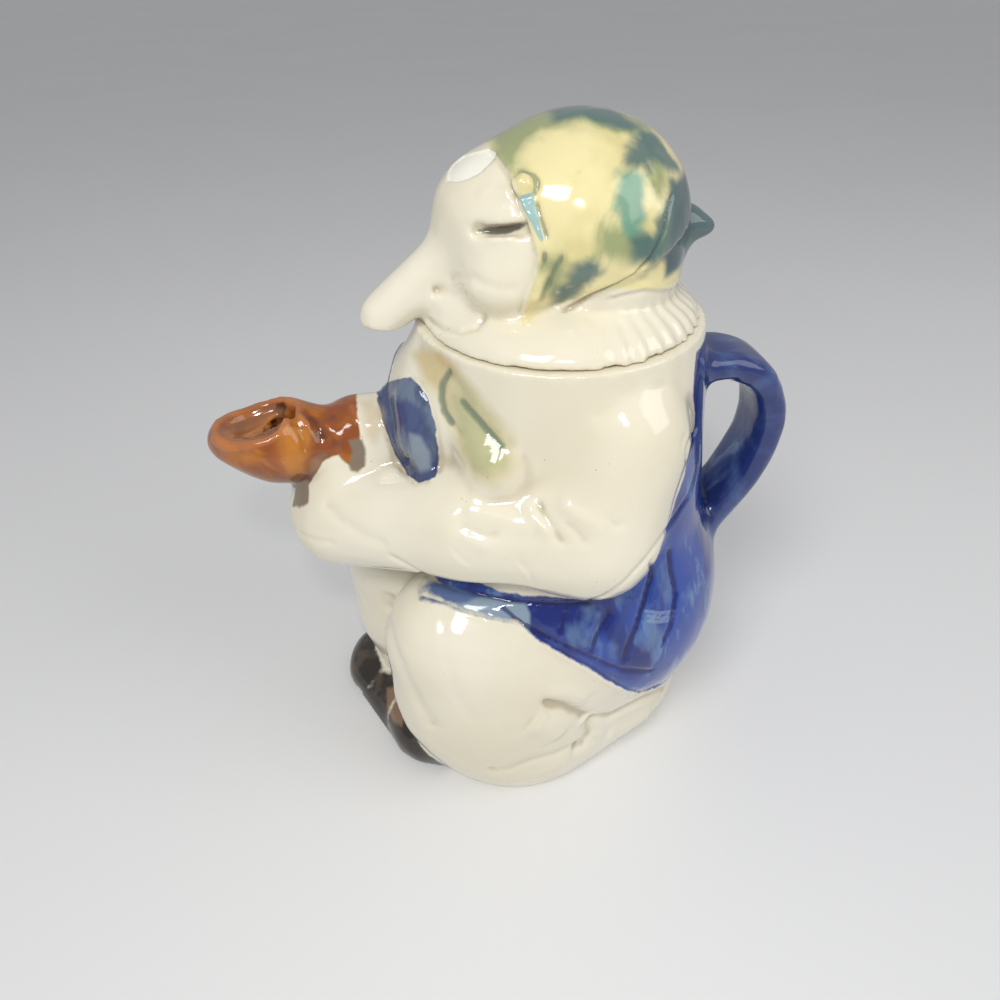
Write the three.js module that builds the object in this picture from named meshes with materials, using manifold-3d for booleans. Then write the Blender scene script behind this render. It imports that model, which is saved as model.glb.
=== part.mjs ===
// Figural teapot: a squatting figure in glazed ceramic, whose head with its round collar lifts off as the lid.
// Millimetres. +X is the figure's left, -Y its front, +Z up; the origin is the middle of the flat underside.
import * as THREE from 'three';
import Module from 'manifold-3d';
import { mergeVertices } from 'three/addons/utils/BufferGeometryUtils.js';

const wasm = await Module();
wasm.setup();

// Driving sizes
const RIM_HEIGHT = 195;        // underside to the rim that the lid rests on
const RIM_RADIUS = 45.5;       // outside of the rim and of the lid's collar
const MOUTH_RADIUS = 36;       // opening for filling
const WALL = 5;                // thickness of the casting
const BASE_THICKNESS = 6;      // floor of the vessel
const NECK_LEDGE = 8;          // height of the ring of clay that narrows the opening to the mouth
const REST_GAP = 0.3;          // lid to rim
const FLANGE_CLEARANCE = 1;    // round the lid's flange, in the mouth
const FLANGE_WALL = 4;
const FLANGE_DEPTH = 10;
const COLLAR_RISE = 15;        // how far the lid's collar domes up
const COLLAR_FLUTES = 44;      // flutes that would fill the whole ring
const FLUTE_DEPTH = 0.5;
const BELLY_WIDTH = 108;       // hips, side to side
const BELLY_DEPTH = 108;       // rump, front to back
const RUMP_BACK = 67;          // how far the rump reaches behind the rim's middle
const VEST_RELIEF = 1.8;       // how far the vest stands proud of the breeches
const ARM_RADIUS = 24;
const WRIST_RADIUS = 18;
const SPOUT_HEIGHT = 156;      // middle of the spout above the underside
const SPOUT_REACH = 124;       // tip of the spout in front of the rim's middle
const SPOUT_STEM_RADIUS = 13.5;
const SPOUT_WAIST_RADIUS = 10;
const SPOUT_BORE = 10;         // diameter of the pouring channel
const CHANNEL_RISE = 18;       // how far the channel rises into the pouch, above the spout's middle
const HANDLE_WIDTH = 27;
const HANDLE_THICKNESS = 11;
const HANDLE_REACH = 81;       // middle of the strap at its furthest, behind the rim's middle
const HEAD_TOP = 256;
const NOSE_RADIUS = 7.5;
const NOSE_TIP = [0, -58.5, 198.5];
const BODY_CELL = 2.8;         // step of the grid that the body is sculpted on
const LID_CELL = 1.8;
const HOLLOW_CELL = 4;
const BODY_FACES = 3200;
const LID_FACES = 2900;
const HOLLOW_FACES = 600;
const HEAD_HOLLOW_FACES = 300;
const RIM_SIDES = 64;

// Solid fields: each gives about the distance from a point to its surface, negative inside

function egg(center, radii) {
  return (x, y, z) => {
    const u = (x - center[0]) / radii[0];
    const v = (y - center[1]) / radii[1];
    const w = (z - center[2]) / radii[2];
    const scaled = Math.sqrt(u * u + v * v + w * w);
    const slope = Math.sqrt((u / radii[0]) ** 2 + (v / radii[1]) ** 2 + (w / radii[2]) ** 2);
    return slope < 1e-9 ? -Math.min(...radii) : scaled * (scaled - 1) / slope;
  };
}

function limb(from, to, startRadius, endRadius) {
  const run = to.map((value, axis) => value - from[axis]);
  const runSquared = run[0] ** 2 + run[1] ** 2 + run[2] ** 2;
  return (x, y, z) => {
    const [px, py, pz] = [x - from[0], y - from[1], z - from[2]];
    const along = (px * run[0] + py * run[1] + pz * run[2]) / runSquared;
    const t = Math.min(1, Math.max(0, along));
    const gap = Math.sqrt((px - t * run[0]) ** 2 + (py - t * run[1]) ** 2 + (pz - t * run[2]) ** 2);
    return gap - startRadius - t * (endRadius - startRadius);
  };
}

function soft(a, b, radius) {
  const h = Math.max(radius - Math.abs(a - b), 0) / radius;
  return Math.min(a, b) - h * h * radius / 4;
}

function melt(radius, ...fields) {
  return (x, y, z) => fields.reduce((sum, field) => soft(sum, field(x, y, z), radius), 1e3);
}

function carve(radius, field, ...tools) {
  return (x, y, z) => tools.reduce((sum, tool) => -soft(-sum, tool(x, y, z), radius), field(x, y, z));
}

// A layer of clay that lies over a form wherever the mask is positive, with an edge about 3 mm wide
function raised(field, amount, mask) {
  return (x, y, z) => field(x, y, z) - amount * THREE.MathUtils.smoothstep(mask(x, y, z), -1.5, 1.5);
}

function mirrored(field) {
  return (x, y, z) => Math.min(field(x, y, z), field(-x, y, z));
}

function curveHeight(points) {
  const curve = points.map(([at, value]) => new THREE.Vector2(at, value));
  return (at) => {
    const next = curve.findIndex((point) => point.x > at);
    if (next === 0) return curve[0].y;
    if (next < 0) return curve[curve.length - 1].y;
    const t = (at - curve[next - 1].x) / (curve[next].x - curve[next - 1].x);
    return THREE.MathUtils.lerp(curve[next - 1].y, curve[next].y, t * t * (3 - 2 * t));
  };
}

// Body

function torso() {
  return melt(8,
    limb([0, 0, RIM_HEIGHT + 2], [0, 4, 160], RIM_RADIUS, 46.5),
    egg([0, 6, 130], [47, 48, 48]),
    egg([0, -33, 167], [27, 25, 25]));
}

function hips() {
  const rumpMiddle = RUMP_BACK - BELLY_DEPTH / 2;
  return melt(10,
    egg([0, rumpMiddle, 76], [BELLY_WIDTH / 2, BELLY_DEPTH / 2, 60]),
    egg([0, rumpMiddle + 5, 26], [42, 41, 40]));
}

function leg(side, forward) {
  return melt(10,
    egg([side * 27, -26 - forward, 48], [33, 46, 52]),
    egg([side * 26, -40 - forward, 78], [28, 32, 26]),
    egg([side * 26, -17 - forward * 0.9, 20], [30, 39, 34]));
}

// The near foot, the far foot set forward, and the toes that join them
function shoes() {
  return melt(4,
    egg([12, -53, 6], [24, 24, 14]),
    egg([-28, -72, 5], [24, 24, 13]),
    limb([-26, -79, -2], [14, -58.7, -2], 17, 17));
}

const vestHem = curveHeight([[-64, 119], [-30, 108], [0, 84], [27, 50], [52, 34], [86, 29]]);

function vest(core) {
  return raised(core, VEST_RELIEF, (x, y, z) => 0.8 * (z - vestHem(y)));
}

function arm(side) {
  return melt(8,
    limb([side * 36, 14, 167], [side * 41, 3, 134], ARM_RADIUS - 2, ARM_RADIUS - 0.5),
    limb([side * 41, 3, 133.5], [side * 31, -36, 135], ARM_RADIUS - 0.5, ARM_RADIUS - 4),
    limb([side * 31, -36, 135], [side * 9, -80, 125.5], ARM_RADIUS - 4, WRIST_RADIUS));
}

function hands() {
  return melt(8,
    egg([0, -83, 124], [21, 18.5, 20]),
    limb([0, -50, SPOUT_HEIGHT], [0, -72, SPOUT_HEIGHT], SPOUT_STEM_RADIUS, SPOUT_STEM_RADIUS),
    egg([0, -76, 140], [17, 17, 18]));
}

function pouch() {
  return melt(5,
    egg([0, -73, SPOUT_HEIGHT], [SPOUT_STEM_RADIUS + 0.5, 5, SPOUT_STEM_RADIUS]),
    limb([0, -74, SPOUT_HEIGHT], [0, -94, SPOUT_HEIGHT - 1], SPOUT_WAIST_RADIUS, SPOUT_WAIST_RADIUS),
    egg([0, -SPOUT_REACH + 25, SPOUT_HEIGHT - 0.5], [17, 17, 15.5]),
    egg([0, -SPOUT_REACH + 16, SPOUT_HEIGHT + 2], [13, 16, 10.5]));
}

function pouchMouth() {
  return egg([0, -SPOUT_REACH + 18, SPOUT_HEIGHT + 15], [11.5, 14.5, 9]);
}

function kerchief() {
  return melt(3,
    egg([1, -43, 182], [12, 9, 9]),
    limb([9, -45, 178], [37, -27, 160], 6, 10),
    limb([-9, -45, 178], [-37, -27, 160], 6, 10));
}

function lapel(side) {
  return melt(2,
    limb([side * 14, -51, 174], [side * 18, -49, 161], 6.5, 8.5),
    limb([side * 18, -49, 161], [side * 23, -45, 148], 8.5, 4));
}

function handle() {
  const points = [[44, 172], [62, 172.5], [75, 165], [HANDLE_REACH, 148], [78, 130], [70, 114], [58, 98]];
  const path = new THREE.SplineCurve(points.map((point) => new THREE.Vector2(...point))).getPoints(26);
  const halfWidth = HANDLE_WIDTH / 2;
  const halfThickness = HANDLE_THICKNESS / 2;
  const edge = 5;
  return (x, y, z) => {
    if (y < 36) return 20;
    let away = 1e3;
    for (let i = 1; i < path.length; i++) {
      const [ry, rz] = [path[i].x - path[i - 1].x, path[i].y - path[i - 1].y];
      const [py, pz] = [y - path[i - 1].x, z - path[i - 1].y];
      const t = THREE.MathUtils.clamp((py * ry + pz * rz) / (ry * ry + rz * rz), 0, 1);
      away = Math.min(away, Math.sqrt((py - t * ry) ** 2 + (pz - t * rz) ** 2));
    }
    const across = Math.abs(x) - (halfWidth - edge);
    const through = away - (halfThickness - edge);
    const outside = Math.sqrt(Math.max(across, 0) ** 2 + Math.max(through, 0) ** 2);
    return outside + Math.min(Math.max(across, through), 0) - edge;
  };
}

function bodyForm() {
  const core = melt(12, torso(), hips());
  const legs = melt(5, leg(1, 0), leg(-1, 15));
  const breeches = melt(5, melt(7, core, legs), shoes());
  const dressed = vest(melt(16, core, legs));
  const sleeves = melt(6, arm(1), arm(-1), hands());
  const chest = melt(3, torso(), kerchief(), lapel(1), lapel(-1));
  const sack = carve(2, pouch(), pouchMouth());
  const strap = handle();
  return (x, y, z) => {
    const trunk = soft(soft(breeches(x, y, z), dressed(x, y, z), 1), chest(x, y, z), 3);
    const clothed = soft(soft(trunk, sleeves(x, y, z), 4), strap(x, y, z), 5);
    return soft(clothed, sack(x, y, z), 1.5);
  };
}

function hollowForm() {
  const room = melt(10, torso(), hips(), leg(1, 0), leg(-1, 15), arm(1), arm(-1));
  const ceiling = RIM_HEIGHT - NECK_LEDGE;
  return (x, y, z) => Math.max(room(x, y, z) + WALL, BASE_THICKNESS - z, z - ceiling);
}

// Lid

function flutes(x, y) {
  const angle = Math.atan2(y, x);
  const fade = THREE.MathUtils.smoothstep(y, -12, 12);
  return FLUTE_DEPTH * fade * Math.cos(COLLAR_FLUTES * angle);
}

function collar() {
  const dome = egg([0, 0, RIM_HEIGHT], [RIM_RADIUS, RIM_RADIUS, COLLAR_RISE]);
  return (x, y, z) => {
    const out = THREE.MathUtils.smoothstep(Math.sqrt(x * x + y * y), RIM_RADIUS * 0.6, RIM_RADIUS * 0.85);
    return dome(x, y, z) + out * flutes(x, y);
  };
}

function skull() {
  return melt(8,
    egg([0, 2, HEAD_TOP - 29], [31, 33, 27.5]),
    egg([0, -13, 220], [28, 23.5, 23]),
    egg([0, -19, 231], [21, 20.5, 14]));
}

function face() {
  const cheeks = mirrored(egg([16, -20, 213.5], [14, 14, 11]));
  const chin = egg([0, -32.5, 202.5], [16.5, 12.5, 9]);
  const nose = limb([0, -29, 220.5], NOSE_TIP, NOSE_RADIUS + 1.5, NOSE_RADIUS);
  return melt(5, melt(8, skull(), nose), cheeks, chin);
}

function scarf() {
  const crown = melt(8, egg([0, 5, HEAD_TOP - 28], [33, 34, 28]), egg([0, 7, 220], [33, 30, 20]));
  const nape = egg([0, 10, 212], [31, 29, 20]);
  const tail = melt(4, limb([0, 34, 214], [0, 40, 221], 7, 6), limb([0, 40, 221], [2, 47, 220], 5, 3));
  const edge = (y, z) => -19 + 0.2 * (247 - z) - y;
  return (x, y, z) => {
    const hem = 0.9 * (207.5 + 0.38 * (y + 9) - z);
    const over = -soft(-crown(x, y, z), -Math.max(edge(y, z), hem), 2);
    const under = -soft(-nape(x, y, z), -edge(y, z), 2);
    return Math.min(over, soft(under, tail(x, y, z), 5));
  };
}

function earKnob() {
  return egg([21.5, -15.5, 241], [3, 3.6, 3.4]);
}

function mouthLine() {
  return mirrored(limb([8, -41, 208.5], [19, -33, 210.5], 1.6, 1.6));
}

function eyeSlit() {
  return mirrored(limb([19.2, -29, 229], [26, -15.5, 230.5], 2, 2));
}

function lidForm() {
  const bare = carve(1.5, face(), mouthLine(), eyeSlit());
  const top = melt(1.5, bare, scarf(), earKnob());
  return melt(3, top, collar());
}

function lidHollow() {
  const head = skull();
  return (x, y, z) => head(x, y, z) + WALL + 1;
}

// Meshing a field: each cell of the grid is split into six tetrahedra, and each is crossed by one or two triangles

const CORNERS = [[0, 0, 0], [1, 0, 0], [1, 1, 0], [0, 1, 0], [0, 0, 1], [1, 0, 1], [1, 1, 1], [0, 1, 1]];
const TETRAHEDRA = [[0, 1, 2, 6], [0, 2, 3, 6], [0, 3, 7, 6], [0, 7, 4, 6], [0, 4, 5, 6], [0, 5, 1, 6]];

function sampleGrid(field, low, high, cell) {
  const size = [0, 1, 2].map((axis) => Math.ceil((high[axis] - low[axis]) / cell) + 1);
  const values = new Float64Array(size[0] * size[1] * size[2]);
  let at = 0;
  for (let k = 0; k < size[2]; k++) {
    for (let j = 0; j < size[1]; j++) {
      for (let i = 0; i < size[0]; i++) {
        const border = i === 0 || j === 0 || k === 0 || i === size[0] - 1 || j === size[1] - 1 || k === size[2] - 1;
        const value = field(low[0] + i * cell, low[1] + j * cell, low[2] + k * cell);
        values[at++] = border ? Math.max(value, cell) : value;
      }
    }
  }
  return { size, values };
}

function meshField(field, low, high, cell) {
  const { size, values } = sampleGrid(field, low, high, cell);
  const places = [];
  const faces = [];
  const crossings = new Map();
  const place = (node) => {
    const i = node % size[0];
    const j = Math.floor(node / size[0]) % size[1];
    const k = Math.floor(node / (size[0] * size[1]));
    return [low[0] + i * cell, low[1] + j * cell, low[2] + k * cell];
  };
  const crossing = (a, b) => {
    const key = a < b ? a * values.length + b : b * values.length + a;
    if (!crossings.has(key)) {
      const t = THREE.MathUtils.clamp(values[a] / (values[a] - values[b]), 0.06, 0.94);
      const [p, q] = [place(a), place(b)];
      crossings.set(key, places.length / 3);
      places.push(p[0] + t * (q[0] - p[0]), p[1] + t * (q[1] - p[1]), p[2] + t * (q[2] - p[2]));
    }
    return crossings.get(key);
  };
  const addFace = (a, b, c, inside) => {
    const [p, q, r] = [a, b, c].map((id) => new THREE.Vector3(...places.slice(3 * id, 3 * id + 3)));
    const normal = q.clone().sub(p).cross(r.clone().sub(p));
    const outward = p.sub(new THREE.Vector3(...place(inside))).dot(normal) > 0;
    faces.push(...(outward ? [a, b, c] : [a, c, b]));
  };
  for (let k = 0; k < size[2] - 1; k++) {
    for (let j = 0; j < size[1] - 1; j++) {
      for (let i = 0; i < size[0] - 1; i++) {
        const nodes = CORNERS.map(([x, y, z]) => i + x + size[0] * (j + y + size[1] * (k + z)));
        const insideCount = nodes.filter((node) => values[node] < 0).length;
        if (insideCount === 0 || insideCount === 8) continue;
        for (const tetrahedron of TETRAHEDRA) {
          const inner = tetrahedron.map((corner) => nodes[corner]).filter((node) => values[node] < 0);
          const outer = tetrahedron.map((corner) => nodes[corner]).filter((node) => values[node] >= 0);
          if (inner.length === 1) {
            addFace(...outer.map((node) => crossing(inner[0], node)), inner[0]);
          } else if (inner.length === 3) {
            addFace(...inner.map((node) => crossing(node, outer[0])), inner[0]);
          } else if (inner.length === 2) {
            const [a, b] = outer.map((node) => crossing(inner[0], node));
            const [c, d] = outer.map((node) => crossing(inner[1], node));
            addFace(a, b, d, inner[0]);
            addFace(a, d, c, inner[0]);
          }
        }
      }
    }
  }
  return { places, faces };
}

// Thinning a mesh: the edge whose loss changes the surface least is closed up first

function facePlane(places, a, b, c) {
  const p = new THREE.Vector3(...places.slice(3 * a, 3 * a + 3));
  const q = new THREE.Vector3(...places.slice(3 * b, 3 * b + 3));
  const r = new THREE.Vector3(...places.slice(3 * c, 3 * c + 3));
  const normal = q.sub(p).cross(r.sub(p));
  const area = normal.length() / 2;
  normal.normalize();
  return { normal, area, offset: -normal.dot(p) };
}

function addPlane(errors, vertex, { normal, area, offset }) {
  const n = [normal.x, normal.y, normal.z, offset];
  let at = vertex * 10;
  for (let row = 0; row < 4; row++) {
    for (let column = row; column < 4; column++) errors[at++] += area * n[row] * n[column];
  }
}

function errorAt(e, x, y, z) {
  return e[0] * x * x + 2 * e[1] * x * y + 2 * e[2] * x * z + 2 * e[3] * x
    + e[4] * y * y + 2 * e[5] * y * z + 2 * e[6] * y
    + e[7] * z * z + 2 * e[8] * z + e[9];
}

function bestPlace(e, p, q) {
  const middle = p.map((value, axis) => (value + q[axis]) / 2);
  const matrix = new THREE.Matrix3().set(e[0], e[1], e[2], e[1], e[4], e[5], e[2], e[5], e[7]);
  const options = [p, q, middle];
  const size = Math.max(e[0] + e[4] + e[7], 1e-12);
  if (Math.abs(matrix.determinant()) > 1e-4 * size ** 3) {
    const solved = new THREE.Vector3(-e[3], -e[6], -e[8]).applyMatrix3(matrix.invert()).toArray();
    const reach = (p[0] - q[0]) ** 2 + (p[1] - q[1]) ** 2 + (p[2] - q[2]) ** 2;
    const moved = (solved[0] - middle[0]) ** 2 + (solved[1] - middle[1]) ** 2 + (solved[2] - middle[2]) ** 2;
    if (moved < reach) options.push(solved);
  }
  const costs = options.map((place) => errorAt(e, ...place));
  const cheapest = costs.indexOf(Math.min(...costs));
  return { place: options[cheapest], cost: Math.max(costs[cheapest], 0) };
}

class Queue {
  constructor() {
    this.items = [];
  }

  push(item) {
    const items = this.items;
    let at = items.push(item) - 1;
    while (at > 0) {
      const parent = (at - 1) >> 1;
      if (items[parent].cost <= items[at].cost) break;
      [items[parent], items[at]] = [items[at], items[parent]];
      at = parent;
    }
  }

  pop() {
    const items = this.items;
    const first = items[0];
    const last = items.pop();
    if (items.length > 0) {
      items[0] = last;
      let at = 0;
      for (;;) {
        let child = 2 * at + 1;
        if (child >= items.length) break;
        if (child + 1 < items.length && items[child + 1].cost < items[child].cost) child++;
        if (items[at].cost <= items[child].cost) break;
        [items[child], items[at]] = [items[at], items[child]];
        at = child;
      }
    }
    return first;
  }
}

function thinMesh({ places, faces }, wanted) {
  const vertexCount = places.length / 3;
  const faceCount = faces.length / 3;
  const around = Array.from({ length: vertexCount }, () => new Set());
  const errors = new Float64Array(vertexCount * 10);
  const alive = new Uint8Array(faceCount).fill(1);
  const version = new Int32Array(vertexCount);
  const queue = new Queue();
  for (let f = 0; f < faceCount; f++) {
    const corners = faces.slice(3 * f, 3 * f + 3);
    const plane = facePlane(places, ...corners);
    for (const vertex of corners) {
      around[vertex].add(f);
      addPlane(errors, vertex, plane);
    }
  }
  const spot = (vertex) => [places[3 * vertex], places[3 * vertex + 1], places[3 * vertex + 2]];
  const neighbours = (vertex) => {
    const found = new Set();
    for (const f of around[vertex]) {
      for (let c = 0; c < 3; c++) found.add(faces[3 * f + c]);
    }
    found.delete(vertex);
    return found;
  };
  const offer = (a, b) => {
    const e = errors.slice(a * 10, a * 10 + 10);
    for (let i = 0; i < 10; i++) e[i] += errors[b * 10 + i];
    const { place, cost } = bestPlace(e, spot(a), spot(b));
    queue.push({ a, b, place, cost, stamp: version[a] + version[b] });
  };
  const flips = (vertex, other, place) => {
    for (const f of around[vertex]) {
      const corners = [faces[3 * f], faces[3 * f + 1], faces[3 * f + 2]];
      if (corners.includes(other)) continue;
      const before = facePlane(places, ...corners).normal;
      const turn = corners.indexOf(vertex);
      const [p, q] = [spot(corners[(turn + 1) % 3]), spot(corners[(turn + 2) % 3])];
      const u = new THREE.Vector3(...p).sub(new THREE.Vector3(...place));
      const v = new THREE.Vector3(...q).sub(new THREE.Vector3(...place));
      const length = Math.max(u.lengthSq(), v.lengthSq());
      const after = u.cross(v);
      if (after.length() < 0.02 * length || after.normalize().dot(before) < 0.3) return true;
    }
    return false;
  };
  for (let f = 0; f < faceCount; f++) {
    for (let c = 0; c < 3; c++) {
      const [a, b] = [faces[3 * f + c], faces[3 * f + (c + 1) % 3]];
      if (a < b) offer(a, b);
    }
  }
  let left = faceCount;
  while (left > wanted && queue.items.length > 0) {
    const { a, b, place, stamp } = queue.pop();
    if (stamp !== version[a] + version[b] || around[a].size === 0 || around[b].size === 0) continue;
    const ring = neighbours(b);
    const shared = [...neighbours(a)].filter((vertex) => ring.has(vertex));
    if (shared.length !== 2 || !ring.has(a) || flips(a, b, place) || flips(b, a, place)) continue;
    for (let axis = 0; axis < 3; axis++) places[3 * a + axis] = place[axis];
    for (let i = 0; i < 10; i++) errors[a * 10 + i] += errors[b * 10 + i];
    for (const f of around[b]) {
      const corners = [faces[3 * f], faces[3 * f + 1], faces[3 * f + 2]];
      if (corners.includes(a)) {
        alive[f] = 0;
        left--;
        for (const vertex of corners) around[vertex].delete(f);
      } else {
        faces[3 * f + corners.indexOf(b)] = a;
        around[a].add(f);
      }
    }
    around[b].clear();
    version[a]++;
    version[b]++;
    for (const vertex of neighbours(a)) offer(a, vertex);
  }
  const renumbered = new Map();
  const kept = { places: [], faces: [] };
  for (let f = 0; f < faceCount; f++) {
    if (!alive[f]) continue;
    for (let c = 0; c < 3; c++) {
      const vertex = faces[3 * f + c];
      if (!renumbered.has(vertex)) {
        renumbered.set(vertex, kept.places.length / 3);
        kept.places.push(...spot(vertex));
      }
      kept.faces.push(renumbered.get(vertex));
    }
  }
  return kept;
}

// Solids

function solidOf(places, faces) {
  return new wasm.Manifold(new wasm.Mesh({
    numProp: 3,
    vertProperties: new Float32Array(places),
    triVerts: new Uint32Array(faces),
  }));
}

function sculpt(field, low, high, cell, faceCount) {
  const { places, faces } = thinMesh(meshField(field, low, high, cell), faceCount);
  return solidOf(places, faces);
}

function solidFrom(geometry) {
  geometry.deleteAttribute('normal');
  geometry.deleteAttribute('uv');
  const merged = mergeVertices(geometry, 1e-4);
  const index = [...merged.index.array];
  const faces = [];
  for (let at = 0; at < index.length; at += 3) {
    const [a, b, c] = index.slice(at, at + 3);
    if (a !== b && b !== c && c !== a) faces.push(a, b, c);
  }
  return solidOf(merged.attributes.position.array, faces);
}

// A round solid about the vertical axis; its profile of [radius, height] points starts and ends on the axis
function turned(profile) {
  const points = profile.map(([radius, height]) => new THREE.Vector2(radius, height));
  return solidFrom(new THREE.LatheGeometry(points, RIM_SIDES).rotateX(Math.PI / 2));
}

function disc(radius, low, high) {
  return turned([[0, low], [radius, low], [radius, high], [0, high]]);
}

function rod(from, to, radius) {
  const start = new THREE.Vector3(...from);
  const run = new THREE.Vector3(...to).sub(start);
  const turn = new THREE.Quaternion().setFromUnitVectors(new THREE.Vector3(0, 1, 0), run.clone().normalize());
  const geometry = new THREE.CylinderGeometry(radius, radius, run.length(), 20).applyQuaternion(turn);
  const middle = start.addScaledVector(run, 0.5);
  return solidFrom(geometry.translate(middle.x, middle.y, middle.z));
}

// The channel runs level from the hollow through the stem, then turns up into the back of the pouch's mouth
function pouringChannel() {
  const turn = -SPOUT_REACH + 27;
  const level = rod([0, turn - SPOUT_BORE / 2, SPOUT_HEIGHT], [0, -30, SPOUT_HEIGHT], SPOUT_BORE / 2);
  const rise = rod([0, turn, SPOUT_HEIGHT], [0, turn, SPOUT_HEIGHT + CHANNEL_RISE], SPOUT_BORE / 2);
  return level.add(rise);
}

function bodySolid() {
  const form = sculpt(bodyForm(), [-70, -130, -8], [70, 94, RIM_HEIGHT + 8], BODY_CELL, BODY_FACES);
  const hollow = sculpt(hollowForm(), [-64, -100, 0], [64, 84, RIM_HEIGHT], HOLLOW_CELL, HOLLOW_FACES);
  const mouth = disc(MOUTH_RADIUS, RIM_HEIGHT - NECK_LEDGE - 4, RIM_HEIGHT + 10);
  return form
    .subtract(disc(3 * RIM_RADIUS, -40, 0))
    .subtract(disc(3 * RIM_RADIUS, RIM_HEIGHT, RIM_HEIGHT + 40))
    .subtract(hollow)
    .subtract(mouth)
    .subtract(pouringChannel());
}

function lidSolid() {
  const seat = RIM_HEIGHT + REST_GAP;
  const flangeRadius = MOUTH_RADIUS - FLANGE_CLEARANCE;
  const bore = flangeRadius - FLANGE_WALL;
  const form = sculpt(lidForm(), [-50, -76, seat - 8], [50, 62, HEAD_TOP + 5], LID_CELL, LID_FACES);
  const hollow = sculpt(lidHollow(), [-34, -44, seat], [34, 44, HEAD_TOP], HOLLOW_CELL, HEAD_HOLLOW_FACES);
  return form
    .subtract(disc(3 * RIM_RADIUS, seat - 40, seat))
    .add(disc(flangeRadius, seat - FLANGE_DEPTH, seat + 3))
    .subtract(turned([[0, seat - FLANGE_DEPTH - 1], [bore, seat - FLANGE_DEPTH - 1], [bore, seat + 4],
      [bore / 2, seat + 12], [0, seat + 12]]))
    .subtract(hollow);
}

function node(name, solid, colour) {
  const mesh = solid.getMesh();
  const geometry = new THREE.BufferGeometry();
  geometry.setAttribute('position', new THREE.BufferAttribute(mesh.vertProperties, 3));
  geometry.setIndex(new THREE.BufferAttribute(mesh.triVerts, 1));
  geometry.computeVertexNormals();
  const glaze = new THREE.MeshStandardMaterial({ color: colour, roughness: 0.15, metalness: 0 });
  const piece = new THREE.Mesh(geometry, glaze);
  piece.name = name;
  return piece;
}

const teapot = new THREE.Group();
teapot.add(node('body', bodySolid(), 0xe6e0cb), node('lid', lidSolid(), 0xd9d08f));

export default teapot;
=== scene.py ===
# %% [markdown]
# # A glazed figural teapot
#
# The teapot is a stout seated figure. Its arms hold a pouch that is the spout.
# The handle is at its back, and its head in a tied scarf lifts off as the lid.
# It is slip-cast earthenware under a thick clear glaze, with colour brushed on by hand.
# The solid model gives the true size and the pose, so it is loaded first and never changed.

# %% Load the solid model
import math

import bpy
import numpy as np
from mathutils import Matrix, Vector
from mathutils.bvhtree import BVHTree


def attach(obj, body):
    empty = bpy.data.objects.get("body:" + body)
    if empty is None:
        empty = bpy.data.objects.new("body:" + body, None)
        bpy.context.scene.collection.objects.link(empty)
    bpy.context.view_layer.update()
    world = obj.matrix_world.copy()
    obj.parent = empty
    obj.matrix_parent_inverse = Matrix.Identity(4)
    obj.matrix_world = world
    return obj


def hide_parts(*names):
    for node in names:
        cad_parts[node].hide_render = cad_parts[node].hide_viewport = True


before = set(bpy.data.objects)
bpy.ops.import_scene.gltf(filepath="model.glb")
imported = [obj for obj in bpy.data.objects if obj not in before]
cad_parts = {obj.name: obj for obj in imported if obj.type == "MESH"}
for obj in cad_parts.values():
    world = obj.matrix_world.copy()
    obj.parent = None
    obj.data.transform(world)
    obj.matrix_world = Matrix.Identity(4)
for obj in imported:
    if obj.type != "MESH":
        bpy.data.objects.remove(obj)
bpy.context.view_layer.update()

# %% [markdown]
# ## Where the picture was taken from
#
# The photograph looks down on the figure's left side from close by.
# Matching that viewpoint lets any spot in the picture be found on the surface again.

# %% Camera
CAMERA_AT = Vector((0.23333, -0.05439, 0.29597))
LENS_MM = 27.04
SENSOR_MM = 36.0
PICTURE = 1000.0
LOOK_DOWN = math.radians(37.0)
LEAN = math.radians(1.5)
HEADING = math.radians(82.0)


def camera_axes():
    """The camera's right, up and backward directions."""
    level = math.cos(LOOK_DOWN)
    back = Vector((math.sin(HEADING) * level, -math.cos(HEADING) * level, math.sin(LOOK_DOWN)))
    right = (-back).cross(Vector((0.0, 0.0, 1.0))).normalized()
    up = right.cross(-back)
    turned_right = right * math.cos(LEAN) - up * math.sin(LEAN)
    turned_up = right * math.sin(LEAN) + up * math.cos(LEAN)
    return turned_right, turned_up, back


RIGHT, UP, BACK = camera_axes()
camera_data = bpy.data.cameras.new("camera")
camera_data.lens = LENS_MM
camera_data.sensor_width = SENSOR_MM
camera_data.clip_start = 0.01
camera_data.dof.use_dof = False
camera = bpy.data.objects.new("camera", camera_data)
bpy.context.scene.collection.objects.link(camera)
camera.matrix_world = Matrix.Translation(CAMERA_AT) @ Matrix((RIGHT, UP, BACK)).transposed().to_4x4()
bpy.context.scene.camera = camera
print("camera", tuple(round(v, 4) for v in CAMERA_AT), "lens", LENS_MM, "mm")

# %% [markdown]
# ## The table and the light
#
# A pale sweep and two large soft lamps stand in for the room.
# A small lamp near the camera gives the sharp sparkles that a wet-looking glaze shows.

# %% Table
FLOOR_SIZE = 30.0


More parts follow.
